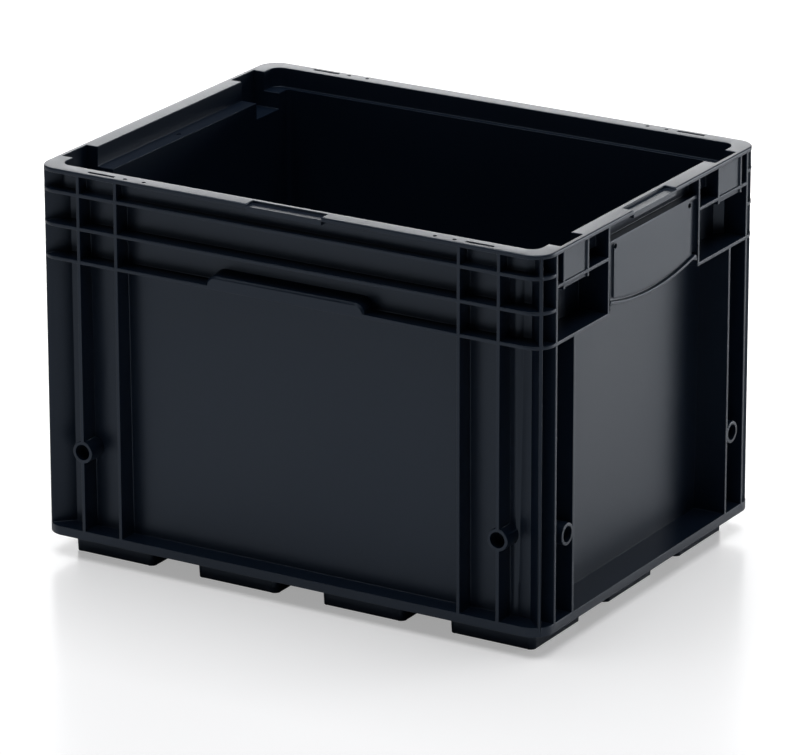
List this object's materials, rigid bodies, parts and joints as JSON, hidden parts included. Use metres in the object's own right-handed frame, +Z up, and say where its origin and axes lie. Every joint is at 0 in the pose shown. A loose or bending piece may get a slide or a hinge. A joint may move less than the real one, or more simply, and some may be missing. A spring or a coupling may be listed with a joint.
{
  "type": "conductive storage tote box",
  "caption": "Stackable open-top storage tote of black conductive plastic, with ribbed walls, a wide rim, grips on all sides and ring feet.",
  "frame": {"origin": "centre of the footprint, on the plane the feet stand on", "axes": "+Z up out of the open top, +X along the long sides, +Y across the width"},
  "size_m": [0.396, 0.297, 0.28],
  "materials": {
    "body": "satin, fine moulded grain"
  },
  "bodies": {
    "root": {"tote_body": "body"}
  },
  "joints": []
}
